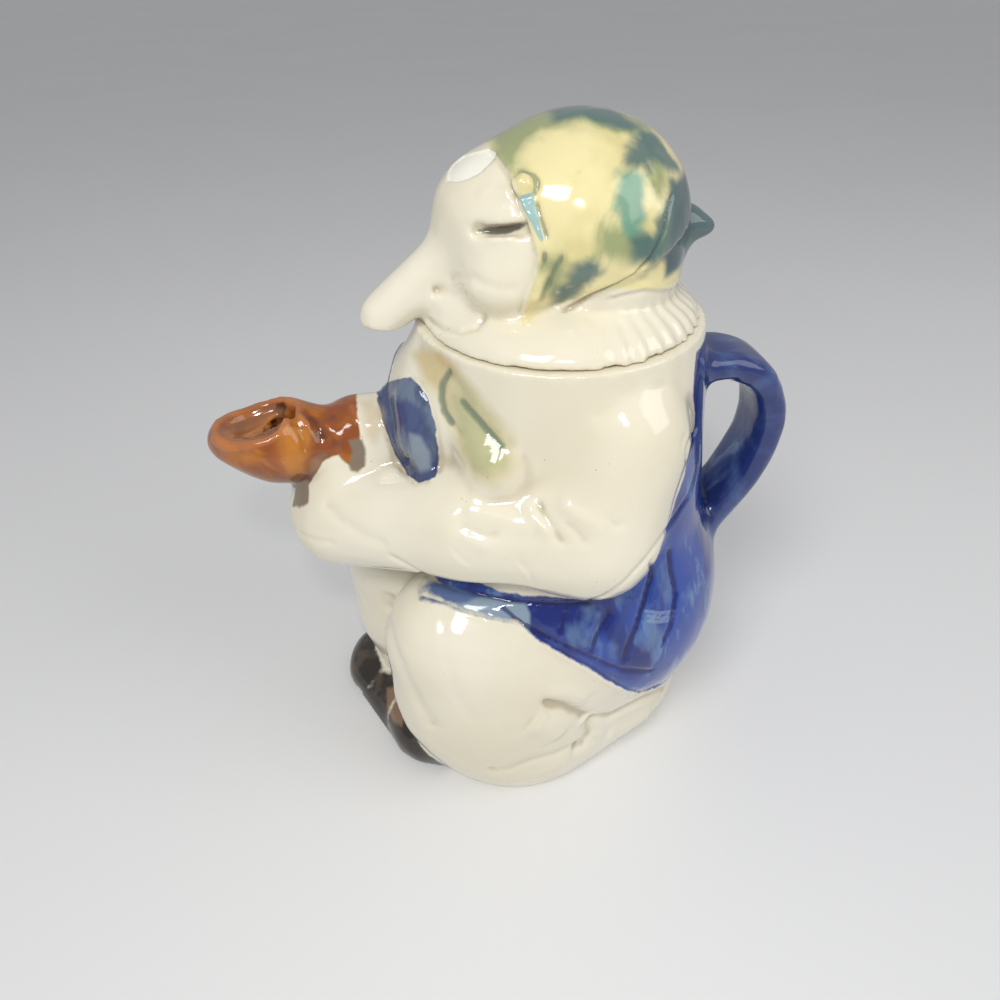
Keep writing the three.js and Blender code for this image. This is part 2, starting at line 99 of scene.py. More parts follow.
def plain_paint(name, colour, roughness):
    """A matte paint with a faint unevenness."""
    material = bpy.data.materials.new(name)
    material.use_nodes = True
    tree = material.node_tree
    shader = tree.nodes["Principled BSDF"]
    shader.inputs["Roughness"].default_value = roughness
    place = tree.nodes.new("ShaderNodeTexCoord")
    noise = tree.nodes.new("ShaderNodeTexNoise")
    noise.inputs["Scale"].default_value = 3.0
    ramp = tree.nodes.new("ShaderNodeMix")
    ramp.data_type = "RGBA"
    ramp.inputs["A"].default_value = (*colour, 1.0)
    ramp.inputs["B"].default_value = (*(0.94 * c for c in colour), 1.0)
    tree.links.new(place.outputs["Object"], noise.inputs["Vector"])
    tree.links.new(noise.outputs["Fac"], ramp.inputs["Factor"])
    tree.links.new(ramp.outputs["Result"], shader.inputs["Base Color"])
    return material


bpy.ops.object.select_all(action="DESELECT")
bpy.ops.mesh.primitive_plane_add(size=FLOOR_SIZE, location=(0.0, 0.0, 0.0))
floor = bpy.context.active_object
floor.name = "floor"
floor.data.materials.append(plain_paint("floor_paint", (0.84, 0.84, 0.83), 0.6))
print("floor", FLOOR_SIZE, "m wide")

# %% Lamps
LAMPS = {
    "key": ((0.60, -0.42, 0.98), 0.35, 5.1),
    "fill": ((0.5, 0.8, 0.8), 0.7, 3.2),
    "spark": ((0.30, -0.05, 0.42), 0.03, 0.35),
}
ROOM_COLOUR = (0.95, 0.96, 1.0, 1.0)
ROOM_LIGHT = 0.40
AIM = Vector((0.0, 0.0, 0.12))


def lamp(name, place, size, watts):
    """A square soft lamp that faces the teapot."""
    data = bpy.data.lights.new(name, "AREA")
    data.size = size
    data.energy = watts
    light = bpy.data.objects.new(name, data)
    bpy.context.scene.collection.objects.link(light)
    light.location = place
    light.rotation_euler = (AIM - Vector(place)).to_track_quat("-Z", "Y").to_euler()
    return light


for name, (place, size, watts) in LAMPS.items():
    lamp(name, place, size, watts)
world = bpy.data.worlds.new("soft_room")
world.use_nodes = True
world.node_tree.nodes["Background"].inputs["Color"].default_value = ROOM_COLOUR
world.node_tree.nodes["Background"].inputs["Strength"].default_value = ROOM_LIGHT
bpy.context.scene.world = world
bpy.context.scene.view_settings.view_transform = "Standard"

# %% [markdown]
# ## Forms measured in millimetres
#
# The figure is built up of eggs and tapered limbs.
# How far a point lies from one of them tells which part of the figure it belongs to.
# The same measures later decide where each brushed colour ends.

# %% Distance to simple forms
MM = 1000.0


def egg_gap(points, centre, radii):
    """How far points lie outside an egg, in mm."""
    offset = points - np.array(centre, float)
    radii = np.array(radii, float)
    near = np.sqrt(((offset / radii) ** 2).sum(1))
    steep = np.sqrt(((offset / radii**2) ** 2).sum(1)) + 1e-9
    return near * (near - 1.0) / steep


def limb_gap(points, start, end, start_radius, end_radius):
    """How far points lie outside a limb that tapers between two balls, in mm."""
    start = np.array(start, float)
    axis = np.array(end, float) - start
    along = np.clip((points - start) @ axis / (axis @ axis), 0.0, 1.0)
    offset = points - start - along[:, None] * axis
    return np.sqrt((offset**2).sum(1)) - (start_radius + along * (end_radius - start_radius))


def form_gap(points, limbs, eggs=()):
    """How far points lie outside some limbs and eggs taken together, in mm."""
    gaps = [limb_gap(points, *limb) for limb in limbs] + [egg_gap(points, *egg) for egg in eggs]
    return np.minimum.reduce(gaps)


def folded(points):
    """The points with the far side mirrored onto the near side."""
    return points * np.where(points[:, :1] < 0, [[-1.0, 1.0, 1.0]], 1.0)


# %% Parts of the figure
ELBOW = (41, 3, 134)
FOREARM = (31, -36, 135)
ARM = (((36, 14, 167), ELBOW, 22, 23.5), (ELBOW, FOREARM, 23.5, 20), (FOREARM, (9, -80, 125.5), 20, 18))
POUCH_WAIST = ((0, -74, 156), (0, -94, 155), 10, 10)
POUCH_EGGS = (
    ((0, -99, 155.5), (17, 17, 15.5)),
    ((0, -108, 158), (13, 16, 10.5)),
    ((0, -73, 156), (14, 5, 13.5)),
)
TRUNK = ((0, 0, 197), (0, 4, 160), 45.5, 46.5)
TRUNK_EGGS = (
    ((0, 6, 130), (47, 48, 48)),
    ((0, -33, 167), (27, 25, 25)),
    ((0, 13, 76), (54, 54, 60)),
    ((0, 18, 26), (42, 41, 40)),
    ((27, -26, 48), (33, 46, 52)),
)
GRIP_EGGS = (((0, -83, 124), (21, 18.5, 20)), ((0, -76, 140), (17, 17, 18)))
STEM = ((0, -50, 156), (0, -72, 156), 13.5, 13.5)
SHOE_EGGS = (((12, -53, 6), (24, 24, 14)), ((-28, -72, 5), (24, 24, 13)))
SHOE_BRIDGE = ((-26, -79, -2), (14, -58.7, -2), 17, 17)
HANDLE_LINE = ((44, 172), (62, 172.5), (75, 165), (81, 148), (78, 130), (70, 114), (58, 98))
HANDLE_RADII = (13.5, 5.5)


def arm_gap(points):
    """How far points lie outside the sleeves."""
    return form_gap(folded(points), ARM)


def pouch_gap(points):
    """How far points lie outside the pouch."""
    return form_gap(points, (POUCH_WAIST,), POUCH_EGGS)


def torso_gap(points):
    """How far points lie outside the trunk and the legs."""
    return form_gap(folded(points), (TRUNK,), TRUNK_EGGS)


def handle_gap(points):
    """How far points lie outside the handle's strap."""
    wide, thick = HANDLE_RADII
    flat = points * np.array([thick / wide, 1.0, 1.0])
    return form_gap(flat, [((0, *a), (0, *b), thick, thick) for a, b in zip(HANDLE_LINE, HANDLE_LINE[1:])])


print("forms: sleeves, pouch, trunk, handle")

# %% [markdown]
# ## From facets to a cast surface
#
# The solid model is made of small flat facets.
# A cast pot has none, so a copy is rounded by subdivision and rebuilt as an even fine mesh.
# The hidden inside is thinned again, because no one sees it closely.

# %% Mesh helpers
SUBDIVISIONS = 2


def select_only(piece):
    """Select one object and make it active."""
    bpy.ops.object.select_all(action="DESELECT")
    piece.select_set(True)
    bpy.context.view_layer.objects.active = piece


def copy_of(node, name):
    """A merged copy of a node of the solid model."""
    select_only(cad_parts[node])
    bpy.ops.object.duplicate()
    piece = bpy.context.view_layer.objects.active
    piece.name = name
    piece.data.name = name
    for key in list(piece.keys()):
        del piece[key]
    piece.parent = None
    piece.matrix_world = Matrix.Identity(4)
    piece.data.materials.clear()
    bpy.ops.object.mode_set(mode="EDIT")
    bpy.ops.mesh.select_all(action="SELECT")
    bpy.ops.mesh.remove_doubles(threshold=1e-6)
    bpy.ops.mesh.customdata_custom_splitnormals_clear()
    bpy.ops.object.mode_set(mode="OBJECT")
    return piece


def points_of(piece):
    """A piece's vertices in mm."""
    flat = np.empty(len(piece.data.vertices) * 3, np.float32)
    piece.data.vertices.foreach_get("co", flat)
    return flat.reshape(-1, 3).astype(float) * MM


def normals_of(piece):
    """A piece's outward vertex directions."""
    flat = np.empty(len(piece.data.vertices) * 3, np.float32)
    piece.data.vertices.foreach_get("normal", flat)
    return flat.reshape(-1, 3).astype(float)


def put_points(piece, points):
    """Move a piece's vertices to new places in mm."""
    piece.data.vertices.foreach_set("co", (points / MM).astype(np.float32).ravel())
    piece.data.update()


def use_modifier(piece, kind, **settings):
    """Add one modifier and apply it."""
    select_only(piece)
    modifier = piece.modifiers.new(kind.lower(), kind)
    for key, value in settings.items():
        setattr(modifier, key, value)
    bpy.ops.object.modifier_apply(modifier=modifier.name)


def keep_crisp(piece, heights, within=0.05):
    """Crease the edges whose two ends lie on one of these level planes, in mm."""
    points = points_of(piece)
    ends = np.empty(len(piece.data.edges) * 2, np.int32)
    piece.data.edges.foreach_get("vertices", ends)
    ends = ends.reshape(-1, 2)
    crease = np.zeros(len(ends), np.float32)
    for height in heights:
        level = np.abs(points[:, 2] - height) < within
        crease[level[ends[:, 0]] & level[ends[:, 1]]] = 1.0
    layer = piece.data.attributes.new("crease_edge", "FLOAT", "EDGE")
    layer.data.foreach_set("value", crease)
    return int((crease > 0).sum())


def group_of(piece, name, weights):
    """A vertex group with one weight for each vertex."""
    group = piece.vertex_groups.new(name=name)
    for step in np.unique(weights.round(2)):
        if step > 0:
            members = np.flatnonzero(weights.round(2) == step)
            group.add([int(i) for i in members], float(step), "REPLACE")


def triangles_of(piece):
    """How many triangles a piece has."""
    return sum(len(p.vertices) - 2 for p in piece.data.polygons)


# %% Body surface
BODY_VOXEL = 0.0011
RIM_TOP = 195.0

body = copy_of("body", "body_cast")
print("creased edges", keep_crisp(body, (0.0, RIM_TOP)))
use_modifier(body, "SUBSURF", levels=SUBDIVISIONS)
use_modifier(body, "REMESH", mode="VOXEL", voxel_size=BODY_VOXEL, adaptivity=0.0)
print("body", len(body.data.vertices), "points")

# %% Lid surface
LID_VOXEL = 0.00065

lid = copy_of("lid", "lid_cast")
use_modifier(lid, "SUBSURF", levels=SUBDIVISIONS)
use_modifier(lid, "REMESH", mode="VOXEL", voxel_size=LID_VOXEL, adaptivity=0.0)
print("lid", len(lid.data.vertices), "points")

# %% Smooth
SMOOTH_ROUNDS = 6
LID_ROUNDS = 3


def relax(piece, weights, rounds):
    """Soften a surface where the weights are above zero."""
    group_of(piece, "relax", weights)
    use_modifier(piece, "SMOOTH", factor=0.5, iterations=rounds, vertex_group="relax")
    piece.vertex_groups.clear()


points = points_of(body)
plain = (points[:, 2] > 1.5) & ((points[:, 2] < RIM_TOP - 2.5) | (np.hypot(points[:, 0], points[:, 1]) > 50))
relax(body, plain.astype(float), SMOOTH_ROUNDS)
points = points_of(lid)
relax(lid, (points[:, 2] > RIM_TOP + 3.0).astype(float), LID_ROUNDS)

# %% [markdown]
# ## Modelling marks
#
# The maker pressed and pulled small folds, pleats and creases into the clay.
# Each is drawn as a line over the photograph, found on the near side of the surface, and pressed in.
# The far side, which the photograph doesn't show, gets fewer and softer ones by symmetry.

# %% Tools for marks on the surface
FOCAL = LENS_MM / SENSOR_MM * PICTURE
PIXEL_STEP = 3.0


def view_ray(spot):
    """The direction from the camera through a spot of the picture, given in pixels."""
    right, down = spot[0] - PICTURE / 2, spot[1] - PICTURE / 2
    return (RIGHT * right - UP * down - BACK * FOCAL).normalized()


def dense(line, step, closed=False):
    """The same line with points at least as close as the step."""
    line = np.array(line, float)
    if closed:
        line = np.vstack((line, line[:1]))
    parts = []
    for a, b in zip(line, line[1:]):
        count = max(1, int(np.ceil(np.linalg.norm(b - a) / step)))
        parts.append(a + (b - a) * np.arange(count)[:, None] / count)
    return np.vstack((*parts, line[-1:]))


class Skin:
    """A piece's surface, on which spots of the picture can be found."""

    def __init__(self, piece):
        self.piece = piece
        self.points = points_of(piece)
        self.normals = normals_of(piece)
        faces = [tuple(p.vertices) for p in piece.data.polygons]
        self.tree = BVHTree.FromPolygons([tuple(p) for p in self.points], faces)

    def line(self, pixels, far=False, closed=False):
        """The drawn line in mm on the near side, or its mirror image on the far side."""
        found = []
        for spot in dense(pixels, PIXEL_STEP, closed):
            hit = self.tree.ray_cast(CAMERA_AT * MM, view_ray(spot))[0]
            if hit is None:
                continue
            if far:
                hit = self.tree.find_nearest(Vector((-hit.x, hit.y, hit.z)))[0]
            if not found or (hit - Vector(found[-1])).length > 0.05:
                found.append(tuple(hit))
        if len(found) < 2:
            print("line misses the surface near", pixels[0])
        return np.array(found)


def near_line(skin, line, reach):
    """The vertices within reach of a line, with their distance, side and place along it."""
    low, high = line.min(0) - reach, line.max(0) + reach
    chosen = np.flatnonzero(((skin.points > low) & (skin.points < high)).all(1))
    away = np.full(len(chosen), 1e9)
    side = np.zeros(len(chosen))
    along = np.zeros(len(chosen))
    points = skin.points[chosen]
    normals = skin.normals[chosen]
    done = 0.0
    for a, b in zip(line, line[1:]):
        run = b - a
        length = np.linalg.norm(run)
        t = np.clip((points - a) @ run / length**2, 0.0, 1.0)
        offset = points - a - t[:, None] * run
        distance = np.sqrt((offset**2).sum(1))
        closer = distance < away
        across = np.cross(run / length, normals)
        away[closer] = distance[closer]
        side[closer] = np.sign((offset * across).sum(1))[closer]
        along[closer] = (done + t * length)[closer]
        done += length
    keep = away < reach
    return chosen[keep], away[keep], side[keep], along[keep], done


def smooth_step(value, low, high):
    """0 below low, 1 above high, smooth between."""
    t = np.clip((value - low) / (high - low), 0.0, 1.0)
    return t * t * (3.0 - 2.0 * t)


def mark(skin, move, width, height, pixels, far=0.0, fold=False, taper=3.0):
    """Raise a ridge, press a groove where the height is below zero, or raise one side of a fold."""
    for share, mirrored in ((1.0, False), (far, True)):
        if share == 0.0:
            continue
        line = skin.line(pixels, mirrored)
        if len(line) < 2:
            continue
        chosen, away, side, along, total = near_line(skin, line, 3.0 * width)
        ends = smooth_step(np.minimum(along, total - along), -0.1, min(taper, total / 2.5))
        if fold:
            turn = -1.0 if mirrored else 1.0
            shape = np.tanh(turn * side * away / (0.35 * width)) * np.exp(-((away / width) ** 1.5))
        else:
            shape = np.exp(-((away / width) ** 2))
        move[chosen] += share * height * shape * ends


def mark_all(skin, move, marks, folds=()):
    """Draw a table of grooves and ridges, and one of folds."""
    for row in marks:
        mark(skin, move, *row)
    for row in folds:
        mark(skin, move, *row, fold=True)


def press(skin, move):
    """Move the vertices along their outward directions by these mm."""
    skin.points = skin.points + skin.normals * move[:, None]
    put_points(skin.piece, skin.points)
    skin.normals = normals_of(skin.piece)


def inside_outline(skin, pixels, far=False, depth=14.0):
    """How many mm each vertex lies inside an outline drawn on the picture; far outside it is -20."""
    outline = skin.line(pixels, far, closed=True)
    middle = outline.mean(0)
    facing = np.array([skin.tree.find_nearest(Vector(p))[1] for p in outline]).mean(0)
    facing = facing / np.linalg.norm(facing)
    across = np.cross(facing, (0.0, 0.0, 1.0))
    across = across / np.linalg.norm(across)
    upward = np.cross(across, facing)
    flat = np.stack(((outline - middle) @ across, (outline - middle) @ upward), 1)
    rise = (skin.points - middle) @ facing
    spread = np.linalg.norm(flat, axis=1).max() + 6.0
    near = np.linalg.norm(skin.points - middle, axis=1) < spread + 4.0
    near &= (np.abs(rise) < depth) & (skin.normals @ facing > 0.0)
    chosen = np.flatnonzero(near)
    spots = np.stack(((skin.points[chosen] - middle) @ across, (skin.points[chosen] - middle) @ upward), 1)
    away = np.full(len(chosen), 1e9)
    winding = np.zeros(len(chosen), bool)
    for a, b in zip(flat, np.roll(flat, -1, axis=0)):
        run = b - a
        if run @ run < 1e-12:
            continue
        t = np.clip((spots - a) @ run / (run @ run), 0.0, 1.0)
        away = np.minimum(away, np.linalg.norm(spots - a - t[:, None] * run, axis=1))
        crosses = (a[1] > spots[:, 1]) != (b[1] > spots[:, 1])
        level = np.where(run[1] == 0, 1e-12, run[1])
        winding ^= crosses & (spots[:, 0] < a[0] + (spots[:, 1] - a[1]) * run[0] / level)
    result = np.full(len(skin.points), -20.0)
    result[chosen] = np.where(winding, away, -away)
    return result


# %% [markdown]
# ## Marks on the pouch
#
# The pouch is a bag whose neck is gathered in the hands and whose mouth hangs open.
# Its lip folds over, and a tongue of cloth covers part of the pouring hole.

# %% Pouch
POUCH_MOUTH = (
    (213, 431), (222, 416), (240, 404), (263, 398), (283, 401), (287, 409), (286, 420), (280, 433),
    (267, 441), (247, 445), (230, 446), (217, 440)
)
MOUTH_DEPTH = 2.2
POUCH_HOLE = ((276, 403), (284, 402), (287, 408), (284, 416), (278, 416), (274, 410))
TONGUE = ((247, 427), (260, 420), (279, 416), (281, 420), (267, 427), (248, 437))
GOLD_PATCHES = (
    TONGUE,
    ((236, 456), (246, 452), (259, 453), (258, 461), (244, 464)),
    ((282, 428), (296, 424), (306, 432), (308, 452), (303, 472), (288, 474), (280, 452)),
)
THIN_BROWN = (
    (309, 460), (318, 455), (326, 454), (332, 457), (339, 454), (347, 460), (343, 468), (326, 475),
    (310, 479)
)
POUCH_MARKS = (
    (1.5, 0.8, ((212, 434), (219, 443), (228, 448), (247, 446), (267, 441), (280, 432), (286, 419))),
    (1.2, 0.5, ((213, 428), (222, 413), (240, 401), (263, 395), (284, 398))),
    (1.2, -0.7, ((216, 431), (224, 418), (240, 407), (260, 401))),
    (1.8, 1.4, ((247, 431), (260, 425), (270, 421), (280, 418))),
    (1.0, -0.6, ((228, 434), (238, 429), (243, 420))),
    (1.4, -0.8, ((280, 402), (284, 408), (282, 413))),
    (1.6, 1.0, ((296, 414), (303, 421), (313, 431))),
    (1.4, -0.8, ((291, 416), (299, 428), (305, 440), (306, 456))),
    (1.6, -0.8, ((305, 411), (313, 419), (321, 431), (323, 446))),
    (2.0, 0.6, ((322, 420), (334, 432), (343, 446))),
    (1.4, -0.5, ((318, 411), (330, 421), (340, 434))),
    (1.4, 0.6, ((350, 402), (357, 416), (360, 430))),
    (1.4, -0.5, ((347, 452), (339, 453), (330, 457), (318, 457), (309, 461))),
)

skin = Skin(body)
move = np.zeros(len(skin.points))
move -= MOUTH_DEPTH * smooth_step(inside_outline(skin, POUCH_MOUTH), -0.3, 3.2)
mark_all(skin, move, POUCH_MARKS)
press(skin, move)
print("pouch marks", len(POUCH_MARKS), "deepest", round(float(move.min()), 2), "mm")

# %% [markdown]
# ## Marks on the chest, sleeves and vest
#
# A kerchief is knotted at the neck, and the vest's lapels lie beside the pouch's neck.
# The sleeves crease at the elbow, and the vest is pleated above its rolled hem.

# %% Chest and sleeves
LAPEL = (
    (379, 385), (395, 380), (410, 377), (419, 384), (429, 400), (436, 428), (439, 459), (436, 478),
    (419, 483), (408, 476), (395, 454), (384, 426), (377, 400)
)
LAPEL_RISE = 0.5
LAPEL_DARK = ((396, 403), (410, 401), (421, 410), (424, 424), (419, 436), (407, 434), (397, 420))
LAPEL_PALE = ((409, 433), (421, 436), (430, 452), (430, 468), (420, 471), (411, 456))
KERCHIEF = (
    (412, 353), (424, 347), (440, 352), (452, 364), (466, 380), (484, 400), (502, 420), (515, 440),
    (519, 460), (512, 478), (494, 486), (474, 480), (462, 462), (452, 440), (444, 418), (438, 396),
    (424, 382)
)
KERCHIEF_TAN = ((414, 352), (428, 348), (444, 354), (452, 366), (448, 378), (436, 384), (420, 378))
KERCHIEF_GREEN = (
    (458, 398), (474, 410), (492, 428), (506, 448), (504, 468), (486, 474), (470, 462), (460, 438)
)
KERCHIEF_LINES = (
    ((451, 371), (443, 384), (442, 398), (445, 411), (452, 422)),
    ((464, 402), (477, 417), (490, 432), (501, 446)),
)
CHEST_MARKS = (
    (1.1, -0.8, ((452, 368), (444, 381), (442, 398), (445, 411), (453, 424), (462, 440)), 0.7),
    (1.1, -0.6, ((462, 400), (477, 417), (490, 432), (501, 446)), 0.7),
    (2.6, 0.5, ((454, 388), (460, 410), (472, 432), (486, 454)), 0.7),
    (0.9, -0.8, ((379, 386), (381, 412), (390, 442), (402, 468), (415, 483), (434, 479)), 0.8),
    (0.9, -0.6, ((436, 478), (440, 458), (437, 428), (429, 400), (419, 383), (407, 376)), 0.8),
    (1.0, -0.7, ((404, 424), (406, 440), (409, 459), (419, 480)), 0.8),
    (1.4, 0.4, ((385, 396), (388, 418), (396, 444), (406, 466)), 0.8),
)
SLEEVE_MARKS = (
    (1.1, -1.0, ((385, 553), (410, 567), (452, 587), (490, 597), (521, 602), (560, 604), (586, 602),
     (606, 596), (626, 582), (648, 557), (668, 528), (690, 494), (700, 462), (701, 440)), 0.0),
    (3.0, 0.7, ((462, 508), (484, 514), (510, 520), (536, 530)), 0.5),
    (2.0, -0.6, ((455, 523), (480, 533), (505, 536)), 0.5),
    (2.2, 0.6, ((458, 534), (474, 542), (492, 552)), 0.4),
    (2.4, 0.9, ((528, 498), (533, 514), (545, 528), (553, 538)), 0.5),
    (1.6, -0.9, ((536, 498), (544, 516), (554, 530), (566, 548)), 0.5),
    (2.6, 0.7, ((556, 500), (574, 514), (596, 526), (606, 536)), 0.5),
    (1.8, -0.5, ((560, 518), (576, 530), (590, 548)), 0.5),
    (1.4, -0.5, ((606, 512), (616, 526), (630, 520)), 0.0),
    (0.9, -0.6, ((687, 460), (687, 448), (691, 437), (698, 428)), 0.0),
    (0.8, -0.4, ((681, 452), (683, 440), (688, 430)), 0.0),
    (1.1, -0.6, ((289, 524), (300, 534), (316, 541), (338, 543)), 0.6),
    (2.2, -0.6, ((322, 500), (340, 520), (364, 536), (390, 546)), 0.4),
)
SLEEVE_FOLDS = (
    (1.4, 0.5, ((516, 560), (526, 572), (535, 588)), 0.4),
    (1.4, 0.4, ((448, 548), (458, 558), (470, 568)), 0.4),
)

skin = Skin(body)
move = np.zeros(len(skin.points))
for side in (False, True):
    move += LAPEL_RISE * smooth_step(inside_outline(skin, LAPEL, side), -0.6, 0.8)
mark_all(skin, move, CHEST_MARKS + SLEEVE_MARKS, SLEEVE_FOLDS)
press(skin, move)
print("chest and sleeve marks", len(CHEST_MARKS) + len(SLEEVE_MARKS))

# %% Vest and breeches
HEM = (
    (419, 595), (440, 601), (467, 612), (495, 619), (518, 623), (527, 631), (541, 642), (564, 655),
    (587, 667), (610, 682), (628, 691), (639, 693), (650, 690), (660, 686)
)
BAND = ((527, 625), (554, 639), (587, 655), (621, 669), (649, 671), (655, 669))
FRONT_BAND = (
    (396, 566), (419, 576), (449, 586), (479, 597), (509, 603), (526, 603), (530, 613), (529, 629),
    (512, 626), (495, 623), (467, 616), (440, 606), (415, 598), (400, 590)
)
BAND_START = ((396, 566), (410, 572), (424, 580), (426, 598), (412, 598), (398, 590))
PLEATS = (
    ((610, 604), (607, 616), (596, 636), (590, 655)),
    ((651, 558), (652, 574), (644, 602), (635, 630), (626, 650), (623, 664)),
    ((669, 547), (671, 570), (676, 593), (671, 625), (662, 646)),
    ((567, 607), (559, 636)),
    ((502, 607), (518, 620), (527, 627)),
)
PALE_PATCHES = (
    ((568, 627), (582, 625), (591, 632), (590, 645), (576, 648), (567, 640)),
    ((583, 608), (598, 607), (605, 612), (602, 618), (588, 618)),
    ((598, 642), (612, 638), (623, 645), (620, 660), (606, 664), (598, 655)),
    ((615, 588), (630, 584), (642, 588), (640, 604), (624, 606), (614, 600)),
    ((633, 629), (650, 626), (667, 632), (662, 646), (644, 648), (632, 642)),
    ((645, 556), (652, 554), (650, 580), (643, 608), (640, 600), (643, 576)),
    ((657, 554), (668, 552), (674, 574), (676, 596), (668, 608), (658, 600), (655, 576)),
    ((677, 588), (688, 586), (692, 596), (686, 604), (678, 602)),
)
STRIPES = (
    ((646, 611), (660, 613), (674, 611)),
    ((648, 616), (661, 618), (673, 616)),
    ((648, 621), (660, 622), (671, 620)),
)
HOLLOW_FOLD = ((541, 710), (548, 706), (564, 709), (575, 714), (589, 720))
VEST_MARKS = (
    (0.9, -0.7, BAND, 0.6),
    (1.0, -1.0, PLEATS[0], 0.7),
    (1.0, -1.2, PLEATS[1], 0.7),
    (1.0, -1.1, PLEATS[2], 0.7),
    (0.9, -0.6, PLEATS[3], 0.7),
    (0.9, -0.6, PLEATS[4], 0.7),
    (2.6, 0.6, ((660, 556), (661, 590), (652, 624), (642, 654)), 0.6),
    (2.6, 0.6, ((632, 592), (622, 618), (608, 652)), 0.6),
    (2.0, 0.4, ((600, 606), (590, 630), (580, 650)), 0.6),
)
VEST_FOLDS = (
    (1.6, 0.9, HEM, 0.6),
)
BREECHES_MARKS = (
    (3.4, -2.6, HOLLOW_FOLD, 0.6),
    (2.6, -1.6, ((586, 720), (610, 717), (633, 705), (646, 698), (674, 687)), 0.6),
    (0.9, -0.5, ((572, 708), (583, 701), (597, 692)), 0.5),
    (3.6, -2.4, ((589, 720), (590, 735), (583, 746), (571, 751)), 0.6),
    (1.2, -0.5, ((589, 735), (596, 744)), 0.0),
    (3.0, -1.1, ((582, 744), (568, 749), (554, 755), (529, 762), (509, 770), (495, 772), (486, 767)), 0.6),
    (6.0, 1.8, ((530, 722), (548, 728), (560, 736)), 0.6),
    (5.0, 1.4, ((604, 738), (626, 728), (650, 712)), 0.6),
    (4.0, 1.0, ((545, 694), (566, 694), (586, 704)), 0.6),
    (3.6, 0.7, ((500, 782), (522, 779), (548, 770), (572, 760)), 0.4),
    (3.6, -1.0, ((392, 593), (387, 620), (394, 648), (406, 678), (420, 705), (436, 731)), 0.5),
    (2.4, -0.3, ((443, 604), (444, 655), (456, 696), (476, 724)), 0.4),
)

skin = Skin(body)
hem_line = skin.line(HEM)
move = np.zeros(len(skin.points))
mark_all(skin, move, VEST_MARKS + BREECHES_MARKS, VEST_FOLDS)
press(skin, move)
print("vest and breeches marks", len(VEST_MARKS) + len(BREECHES_MARKS))

# %% [markdown]
# ## Marks on the head
#
# The face is a comic mask with shut eyes and a long hanging nose.
# The scarf is wound round the skull, twisted at the ear, and rolled under at its hem.

# %% Head
SCARF_EDGE = (
    (489, 149), (498, 157), (509, 173), (517, 195), (527, 220), (535, 247), (538, 265), (533, 282),
    (527, 297), (521, 318)
)
EYE = (
    (477, 230), (487, 228), (498, 227), (512, 225), (527, 223), (519, 230), (507, 234), (494, 235),
    (482, 232)
)
EAR_BEAD = (523, 183)
STRIP = (
    (517, 197), (533, 192), (535, 206), (541, 224), (544, 238), (542, 244), (535, 231), (527, 216)
)
HEM_CURL = (
    (556, 312), (572, 305), (594, 293), (616, 284), (635, 274), (650, 257), (657, 245), (664, 228),
    (668, 205), (673, 190)
)
FLAP_HEM = ((604, 299), (624, 293), (644, 289), (660, 290), (672, 289), (680, 278))
HEAD_MARKS = (
    (0.8, -0.6, ((478, 230), (490, 230), (503, 229), (516, 227), (528, 223)), 0.9),
    (1.1, 0.4, ((480, 224), (492, 223), (505, 222), (518, 219), (528, 216)), 0.9),
    (1.2, 0.4, ((482, 237), (494, 240), (508, 239), (520, 234)), 0.9),
    (1.6, -0.5, ((446, 282), (453, 279), (471, 277), (482, 284), (501, 290), (523, 288)), 0.8),
    (2.4, 0.3, ((452, 290), (466, 288), (480, 293)), 0.8),
    (1.2, -0.9, ((425, 318), (440, 329), (458, 333), (476, 328), (488, 314)), 0.8),
    (2.0, 0.4, ((474, 196), (490, 190), (506, 192), (516, 202)), 0.8),
    (0.9, -0.8, HEM_CURL, 0.7),
    (1.2, -0.9, ((566, 252), (555, 266), (546, 288), (540, 306)), 0.8),
    (1.6, 0.7, ((558, 250), (549, 266), (541, 288), (535, 306)), 0.8),
    (1.2, -0.9, ((544, 247), (544, 263), (537, 281), (531, 300)), 0.8),
    (1.6, 0.6, ((574, 252), (565, 270), (556, 290)), 0.8),
    (0.9, -0.7, ((535, 196), (538, 212), (544, 230), (549, 244)), 0.8),
    (1.2, -0.7, ((512, 172), (522, 170), (532, 175), (535, 185), (531, 194)), 0.8),
    (1.4, -0.4, ((562, 297), (582, 288), (601, 272)), 0.5),
)
HEAD_FOLDS = (
    (1.4, -0.9, SCARF_EDGE, 0.8),
    (1.3, -0.9, HEM_CURL, 0.7),
    (1.3, -0.7, FLAP_HEM, 0.7),
)
CHIP = (
    (457, 157), (473, 153), (489, 149), (497, 153), (492, 161), (480, 173), (468, 179), (457, 182),
    (447, 181), (448, 172)
)
CHIP_DEPTH = 0.5
STRIP_RISE = 0.4
BEAD_RADIUS = 3.5
BEAD_RISE = 1.1
BEAD_GROOVE = 0.5

skin = Skin(lid)
move = np.zeros(len(skin.points))
mark_all(skin, move, HEAD_MARKS, HEAD_FOLDS)
for far in (False, True):
    move += STRIP_RISE * smooth_step(inside_outline(skin, STRIP, far), -0.6, 0.6)
move -= CHIP_DEPTH * smooth_step(inside_outline(skin, CHIP), -0.15, 0.15)
bead = Vector(skin.line((EAR_BEAD, (EAR_BEAD[0] + 1, EAR_BEAD[1])))[0])
for side in (1.0, -1.0):
    away = np.linalg.norm(skin.points - np.array((side * bead.x, bead.y, bead.z)), axis=1)
    move += BEAD_RISE * np.sqrt(np.clip(1.0 - (away / BEAD_RADIUS) ** 2, 0.0, 1.0))
    move -= BEAD_GROOVE * np.exp(-(((away - BEAD_RADIUS - 0.5) / 0.8) ** 2))
press(skin, move)
print("head marks", len(HEAD_MARKS))

